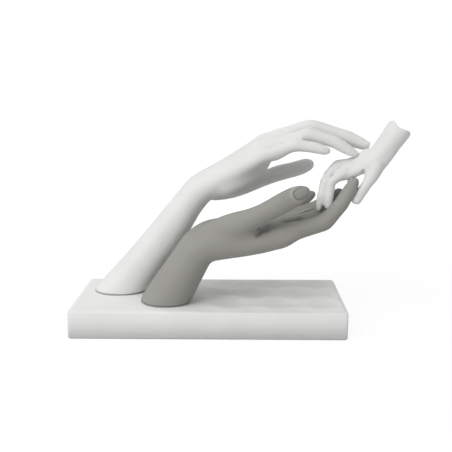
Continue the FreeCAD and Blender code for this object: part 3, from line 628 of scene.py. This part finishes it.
FRONT_PULLS = [
    ((0.1080, -0.0600, 0.1660), 0.022, (0.0055, 0, 0.0010)),
    ((0.1560, -0.0410, 0.1790), 0.022, (0.0050, 0, 0.0020)),
    ((0.1500, -0.0420, 0.1620), 0.020, (0.0030, 0, -0.0010)),
    ((0.1210, 0.0143, 0.1510), 0.015, (0.0032, 0, 0.0010)),
]
REAR_PULLS = [
    ((0.1630, -0.0225, 0.1915), 0.012, (0.0025, 0, 0.0005)),
    ((0.1790, -0.0075, 0.1995), 0.012, (0.0010, 0, 0.0020)),
    ((0.0750, -0.0200, 0.1915), 0.017, (0, 0, -0.0024)),
    ((-0.0703, 0.0100, 0.0480), 0.034, (0.0050, 0, 0)),
    ((-0.0501, 0.0080, 0.0750), 0.034, (0.0050, 0, 0)),
    ((-0.0298, 0.0050, 0.1010), 0.034, (0.0040, 0, 0)),
]
SMALL_PULLS = [
    ((0.1660, -0.0210, 0.1940), 0.015, (0, 0, 0.0050)),
    ((0.1655, -0.0340, 0.1755), 0.009, (-0.0005, 0, 0.0062)),
    ((0.1911, -0.0280, 0.2296), 0.013, (0, 0, 0.0030)),
]
REAR_WEB = (0.0640, -0.0100, 0.1840)
REAR_PALM = (0.0400, 0.0000, 0.1720)
SMALL_CUT_EDGE = (0.2110, -0.0280, 0.2175)

for clay, pulls in ((front_clay, FRONT_PULLS), (rear_clay, REAR_PULLS), (small_clay, SMALL_PULLS)):
    for point, radius, move in pulls:
        clay.pull(point, radius, move)
    clay.refresh()
rear_clay.fill(REAR_WEB, radius=0.014, passes=40)
rear_clay.soften(REAR_PALM, radius=0.026, passes=25)
small_clay.soften(SMALL_CUT_EDGE, radius=0.012, passes=60)

# The front hand's palm: its lines, the rims and grooves of its fingers, and the web of its thumb

PALM_LINES = [
    [(0.066, -0.044, 0.119), (0.056, -0.036, 0.118), (0.046, -0.030, 0.115),
     (0.036, -0.026, 0.112), (0.027, -0.024, 0.110)],
    [(0.066, -0.043, 0.119), (0.058, -0.030, 0.120), (0.052, -0.015, 0.120),
     (0.046, -0.002, 0.118)],
    [(0.078, -0.030, 0.121), (0.073, -0.018, 0.121), (0.066, -0.005, 0.121),
     (0.060, 0.008, 0.121)],
]
FRONT_RIMS = [
    [(0.0700, -0.0330, 0.1210), (0.0797, -0.0335, 0.1212), (0.0902, -0.0362, 0.1223),
     (0.1040, -0.0380, 0.1255), (0.1180, -0.0390, 0.1320)],
    [(0.0830, -0.0270, 0.1235), (0.0993, -0.0279, 0.1289), (0.1110, -0.0270, 0.1330)],
    [(0.0860, -0.0125, 0.1250), (0.1007, -0.0115, 0.1285), (0.1150, -0.0108, 0.1341)],
]
FRONT_GROOVES = [
    [(0.0760, -0.0290, 0.1205), (0.0900, -0.0310, 0.1222), (0.1050, -0.0325, 0.1270)],
    [(0.0830, -0.0190, 0.1235), (0.0990, -0.0190, 0.1280), (0.1120, -0.0185, 0.1330)],
]
WEB_CREASE = [
    (0.0500, -0.0530, 0.1105), (0.0545, -0.0505, 0.1130), (0.0595, -0.0450, 0.1168),
    (0.0646, -0.0346, 0.1186), (0.0692, -0.0285, 0.1207),
]
WEB_VALLEY = [
    (0.0570, -0.0485, 0.1140), (0.0630, -0.0430, 0.1168), (0.0690, -0.0370, 0.1186),
    (0.0735, -0.0320, 0.1198),
]
# The last number of each draw paints: the rims get a painted highlight, and the lines, grooves and
# web painted shade
front_clay.draw(PALM_LINES, width=0.0014, height=-0.0007, taper=0.3, painted_light=-0.2)
front_clay.draw(FRONT_RIMS, width=0.0016, height=0.0016, taper=0.2, painted_light=0.7)
front_clay.draw(FRONT_GROOVES, width=0.0024, height=-0.0024, taper=0.2, painted_light=-0.45)
front_clay.refresh()
front_clay.draw([WEB_CREASE], width=0.0022, height=-0.0030, taper=0.12, painted_light=-0.25)
front_clay.draw([WEB_VALLEY], width=0.0066, height=-0.0040, taper=0.3, painted_light=-0.25)
front_clay.refresh()

# Soft valleys between the tendons of the rear hand, with painted shade in them

REAR_VALLEYS = [
    [(0.0560, 0.0060, 0.2060), (0.0650, 0.0000, 0.2090), (0.0750, -0.0060, 0.2115),
     (0.0860, -0.0060, 0.2165), (0.0985, -0.0070, 0.2205), (0.1110, -0.0070, 0.2217),
     (0.1200, -0.0080, 0.2200)],
    [(0.0540, -0.0160, 0.1960), (0.0645, -0.0200, 0.2010), (0.0780, -0.0200, 0.2080),
     (0.0895, -0.0200, 0.2100), (0.0980, -0.0205, 0.2108), (0.1050, -0.0210, 0.2100)],
]
rear_clay.draw(REAR_VALLEYS, width=0.0038, height=-0.0015, taper=0.25, painted_light=-0.3)
rear_clay.refresh()
# Each hand keeps its painted highlights and painted shade for its finish
for clay in (front_clay, rear_clay, small_clay):
    clay.keep_painted_light()

# The plinth's skin: its ripples stand out more, and its top and sides are a little uneven, as a
# casting's are when its seams have been sponged

# Quads are made finer within a band under the top, until no edge there is longer than the last
TOP_BAND = 0.005
LONGEST_TOP_EDGES = (0.006, 0.0035)

# Ripples lie within a band too, and fade out towards a plain border. They are deepened about a
# level that is a share of the deepest, and both this and their painted highlight and shade fade in
# with depth.
RIPPLE_BAND = 0.004
RIPPLE_SHARE = 1.5
RIPPLE_LEVEL = 0.25
RIPPLE_FADE = 3
PAINTED_LIGHT_FADE = 6
PLAIN_BORDER = 0.003
BORDER_RAMP = 0.006
WELL_INSIDE = 0.012

TOP_UNEVENNESS = 0.00012
SIDE_UNEVENNESS = 0.0003
SIDE_BORDER = 0.003
SIDE_RAMP = 0.004
ON_SIDE = 0.0005


def plinth_skin():
    """The plinth, with finer quads on its top."""
    piece = node_copy("plinth", "plinth_skin")
    half_length, half_depth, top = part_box("plinth")[1]
    bm = open_mesh(piece)
    for longest in LONGEST_TOP_EDGES:
        long_edges = [
            edge for edge in bm.edges
            if edge.calc_length() > longest
            and all(vert.co.z > top - TOP_BAND for vert in edge.verts)
        ]
        bmesh.ops.subdivide_edges(bm, edges=long_edges, cuts=1)
        bmesh.ops.triangulate(bm, faces=[face for face in bm.faces if len(face.verts) > 4])
    close_mesh(bm, piece)
    clay = Clay(piece)
    x, y, z = clay.points.T
    inside = np.minimum(half_length - np.abs(x), half_depth - np.abs(y))
    on_top = z > top - RIPPLE_BAND
    share = np.clip((inside - PLAIN_BORDER) / BORDER_RAMP, 0, 1) * on_top

    # Crests get a painted highlight and troughs painted shade, and both stand further from the
    # level between them
    depth = np.where(on_top, top - z, 0)
    deepest = depth[inside > WELL_INSIDE].max()
    sunk = depth / deepest
    clay.painted_light[:] = (0.5 - sunk) * np.clip(sunk * PAINTED_LIGHT_FADE, 0, 1) * share
    sink = (depth - deepest * RIPPLE_LEVEL) * (RIPPLE_SHARE - 1)
    clay.points[:, 2] -= sink * np.clip(sunk * RIPPLE_FADE, 0, 1) * share

    # The unevenness is a sum of waves of unlike lengths
    wave = np.sin(61 * x + 1.3) * np.sin(83 * y + 0.4) + 0.6 * np.sin(127 * x - 97 * y + 2)
    clay.points[:, 2] += wave * TOP_UNEVENNESS * share
    on_side = np.clip((top - SIDE_BORDER - z) / SIDE_RAMP, 0, 1) * (inside < ON_SIDE)
    long_side = np.sign(y) * (np.abs(y) > half_depth - ON_SIDE)
    wave = np.sin(71 * x + 0.7) * np.sin(190 * z + 1) + 0.5 * np.sin(143 * x + 1.9)
    clay.points[:, 1] += wave * SIDE_UNEVENNESS * on_side * long_side
    clay.refresh()
    clay.keep_painted_light()
    return piece


plinth_clay_skin = plinth_skin()

for skin in (front_skin, rear_skin, small_skin, plinth_clay_skin):
    for polygon in skin.data.polygons:
        polygon.use_smooth = True

# Finishes

GRAIN_RELIEF = 0.0003


def finish(name, colour, roughness, grain, grain_scale=900, mottle=0.03, mottle_scale=24,
           metallic=0, painted_light_share=0.0):
    """A procedural finish: a faint mottle, a painted highlight on rims and painted shade in
    hollows, and a fine grain.
    """
    material = bpy.data.materials.new(name)
    material.use_nodes = True
    tree = material.node_tree
    shader = tree.nodes["Principled BSDF"]
    shader.inputs["Roughness"].default_value = roughness
    shader.inputs["Metallic"].default_value = metallic
    shader.inputs["Specular IOR Level"].default_value = 0.3
    place = tree.nodes.new("ShaderNodeTexCoord")
    patches = tree.nodes.new("ShaderNodeTexNoise")
    patches.inputs["Scale"].default_value = mottle_scale
    patches.inputs["Detail"].default_value = 5
    tree.links.new(place.outputs["Object"], patches.inputs["Vector"])
    tones = tree.nodes.new("ShaderNodeValToRGB")
    darker, paler = tones.color_ramp.elements
    darker.position = 0.3
    paler.position = 0.7
    darker.color = [channel * (1 - mottle) for channel in colour] + [1]
    paler.color = [min(channel * (1 + mottle), 1) for channel in colour] + [1]
    tree.links.new(patches.outputs["Fac"], tones.inputs["Fac"])
    # The kept attribute paints highlights on rims and crests and shade in hollows and troughs,
    # scaled by this share
    if painted_light_share:
        painted_light = tree.nodes.new("ShaderNodeAttribute")
        painted_light.attribute_name = "painted_light"
        level = tree.nodes.new("ShaderNodeMath")
        level.operation = "MULTIPLY_ADD"
        level.inputs[1].default_value = painted_light_share
        level.inputs[2].default_value = 1
        tree.links.new(painted_light.outputs["Fac"], level.inputs[0])
        painted_tones = tree.nodes.new("ShaderNodeVectorMath")
        painted_tones.operation = "SCALE"
        tree.links.new(tones.outputs["Color"], painted_tones.inputs[0])
        tree.links.new(level.outputs[0], painted_tones.inputs["Scale"])
        tree.links.new(painted_tones.outputs[0], shader.inputs["Base Color"])
    else:
        tree.links.new(tones.outputs["Color"], shader.inputs["Base Color"])
    specks = tree.nodes.new("ShaderNodeTexNoise")
    specks.inputs["Scale"].default_value = grain_scale
    specks.inputs["Detail"].default_value = 3
    tree.links.new(place.outputs["Object"], specks.inputs["Vector"])
    relief = tree.nodes.new("ShaderNodeBump")
    relief.inputs["Strength"].default_value = grain
    relief.inputs["Distance"].default_value = GRAIN_RELIEF
    tree.links.new(specks.outputs["Fac"], relief.inputs["Height"])
    tree.links.new(relief.outputs["Normal"], shader.inputs["Normal"])
    return material


# The last share in each clay finish sets how strongly its painted highlights and painted shade show
white_clay_finish = finish("white_bisque", (0.83, 0.83, 0.818), 0.62, 0.12, painted_light_share=0.12)
grey_clay_finish = finish("grey_bisque", (0.33, 0.325, 0.30), 0.6, 0.12, painted_light_share=0.5)
plinth_finish = finish("plinth_bisque", (0.89, 0.89, 0.88), 0.66, 0.16, mottle=0.025, painted_light_share=0.13)
steel_finish = finish("bright_steel", (0.62, 0.62, 0.63), 0.3, 0.05, mottle=0.04,
                      mottle_scale=300, metallic=1)
rubber_finish = finish("black_rubber", (0.03, 0.03, 0.032), 0.7, 0.2, 1500)
gasket_finish = finish("pale_gasket", (0.5, 0.49, 0.47), 0.8, 0.2, 1500)
felt_finish = finish("pale_felt", (0.7, 0.7, 0.69), 0.95, 0.6, 2500, mottle=0.15,
                     mottle_scale=900)
plaster_finish = finish("casting_plaster", (0.7, 0.68, 0.64), 0.9, 0.2)

# Pieces that are shown by their solids
FINISHES = (
    (plaster_finish, ("front_foot_plug", "rear_foot_plug")),
    (gasket_finish, ("front_seat_gasket", "rear_seat_gasket")),
    (steel_finish, ("finger_pin", "front_stud", "rear_stud", "front_steel_washer",
                    "rear_steel_washer", "front_nut", "rear_nut")),
    (rubber_finish, ("front_cushion_washer", "rear_cushion_washer")),
    (felt_finish, ("felt_base",)),
)


def dress(piece, material):
    """Gives a piece one finish all over."""
    piece.data.materials.clear()
    piece.data.materials.append(material)


for material, names in FINISHES:
    for name in names:
        dress(nodes[name], material)
for skin, node, material, slot in (
    (front_skin, "front_arm", grey_clay_finish, "grey_ceramic"),
    (rear_skin, "rear_arm", white_clay_finish, "white_ceramic"),
    (small_skin, "child_hand", white_clay_finish, "white_ceramic"),
    (plinth_clay_skin, "plinth", plinth_finish, "white_ceramic"),
):
    dress(skin, material)
    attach(skin, "root")
    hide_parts(node)

# Floor, light and camera

FLOOR_RADIUS = 3

# The sky is brightest towards this way, and even for the camera and for what the object mirrors
SKY_WAY = (-0.12, 0.1, 0.988)
SKY_LEAST = 0.06
SKY_MOST = 0.86

LAMP_AIM = (0.03, 0.0, 0.12)
LAMP_SIZE = 1.5

CAMERA_PLACE = (0.0321, -0.7711, 0.2730)
CAMERA_PITCH = math.radians(11.85)
CAMERA_YAW = math.radians(0.98)
CAMERA_LENS = 55.75


def stage_material():
    """A pale floor that the camera sees as white, with the object's shadow kept faint on it."""
    material = bpy.data.materials.new("pale_floor")
    material.use_nodes = True
    tree = material.node_tree
    tree.nodes.clear()
    out = tree.nodes.new("ShaderNodeOutputMaterial")
    paint = tree.nodes.new("ShaderNodeBsdfDiffuse")
    paint.inputs["Color"].default_value = (0.8, 0.8, 0.8, 1)
    thin_paint = tree.nodes.new("ShaderNodeBsdfDiffuse")
    thin_paint.inputs["Color"].default_value = (0.13, 0.13, 0.13, 1)
    place = tree.nodes.new("ShaderNodeTexCoord")
    reach = tree.nodes.new("ShaderNodeVectorMath")
    reach.operation = "LENGTH"
    tree.links.new(place.outputs["Object"], reach.inputs[0])
    level = tree.nodes.new("ShaderNodeMapRange")
    level.inputs["From Min"].default_value = 0.3
    level.inputs["From Max"].default_value = 0.8
    level.inputs["To Min"].default_value = 0.9
    level.inputs["To Max"].default_value = 1
    tree.links.new(reach.outputs["Value"], level.inputs["Value"])
    glow = tree.nodes.new("ShaderNodeEmission")
    tree.links.new(level.outputs["Result"], glow.inputs["Strength"])
    seen = tree.nodes.new("ShaderNodeAddShader")
    tree.links.new(glow.outputs[0], seen.inputs[0])
    tree.links.new(thin_paint.outputs[0], seen.inputs[1])
    ray = tree.nodes.new("ShaderNodeLightPath")
    blend = tree.nodes.new("ShaderNodeMixShader")
    tree.links.new(ray.outputs["Is Camera Ray"], blend.inputs["Fac"])
    tree.links.new(paint.outputs[0], blend.inputs[1])
    tree.links.new(seen.outputs[0], blend.inputs[2])
    tree.links.new(blend.outputs[0], out.inputs["Surface"])
    return material


def lay_floor():
    """A wide round floor, which belongs to the stage and not to the object."""
    floor = bpy.data.objects.new("floor", bpy.data.meshes.new("floor"))
    bpy.context.scene.collection.objects.link(floor)
    bm = open_mesh(floor)
    bmesh.ops.create_circle(bm, cap_ends=True, radius=FLOOR_RADIUS, segments=64)
    close_mesh(bm, floor)
    dress(floor, stage_material())


def light_sky():
    """A soft sky that lights from above."""
    world = bpy.data.worlds.new("studio")
    bpy.context.scene.world = world
    world.use_nodes = True
    tree = world.node_tree
    backdrop = tree.nodes["Background"]
    backdrop.inputs["Color"].default_value = (1, 1, 1, 1)
    sky = tree.nodes.new("ShaderNodeTexCoord")
    toward = tree.nodes.new("ShaderNodeVectorMath")
    toward.operation = "DOT_PRODUCT"
    toward.inputs[1].default_value = SKY_WAY
    tree.links.new(sky.outputs["Generated"], toward.inputs[0])
    level = tree.nodes.new("ShaderNodeMapRange")
    level.inputs["To Min"].default_value = SKY_LEAST
    level.inputs["To Max"].default_value = SKY_MOST
    tree.links.new(toward.outputs["Value"], level.inputs["Value"])
    ray = tree.nodes.new("ShaderNodeLightPath")
    any_seen = tree.nodes.new("ShaderNodeMath")
    any_seen.operation = "MAXIMUM"
    tree.links.new(ray.outputs["Is Camera Ray"], any_seen.inputs[0])
    tree.links.new(ray.outputs["Is Glossy Ray"], any_seen.inputs[1])
    strength = tree.nodes.new("ShaderNodeMix")
    strength.data_type = "FLOAT"
    tree.links.new(any_seen.outputs[0], strength.inputs[0])
    tree.links.new(level.outputs["Result"], strength.inputs[2])
    strength.inputs[3].default_value = 1
    tree.links.new(strength.outputs[0], backdrop.inputs["Strength"])


def soft_light(name, place, power):
    """A square soft box, turned to the middle of the object."""
    lamp = bpy.data.lights.new(name, "AREA")
    lamp.size = LAMP_SIZE
    lamp.energy = power
    holder = bpy.data.objects.new(name, lamp)
    bpy.context.scene.collection.objects.link(holder)
    holder.location = place
    holder.rotation_mode = "QUATERNION"
    holder.rotation_quaternion = (Vector(LAMP_AIM) - Vector(place)).to_track_quat("-Z", "Y")


def set_camera():
    """The photograph's own view."""
    camera_data = bpy.data.cameras.new("view")
    camera_data.sensor_width = 36
    camera_data.lens = CAMERA_LENS
    camera_data.clip_start = 0.01
    camera = bpy.data.objects.new("view", camera_data)
    bpy.context.scene.collection.objects.link(camera)
    camera.location = CAMERA_PLACE
    camera.rotation_euler = (math.pi / 2 - CAMERA_PITCH, 0, CAMERA_YAW)
    bpy.context.scene.camera = camera


lay_floor()
light_sky()
soft_light("key", (-1.34, -1.40, 1.40), 25.5)
soft_light("fill", (1.13, -1.61, 1.38), 2)
set_camera()
bpy.context.scene.view_settings.view_transform = "Standard"
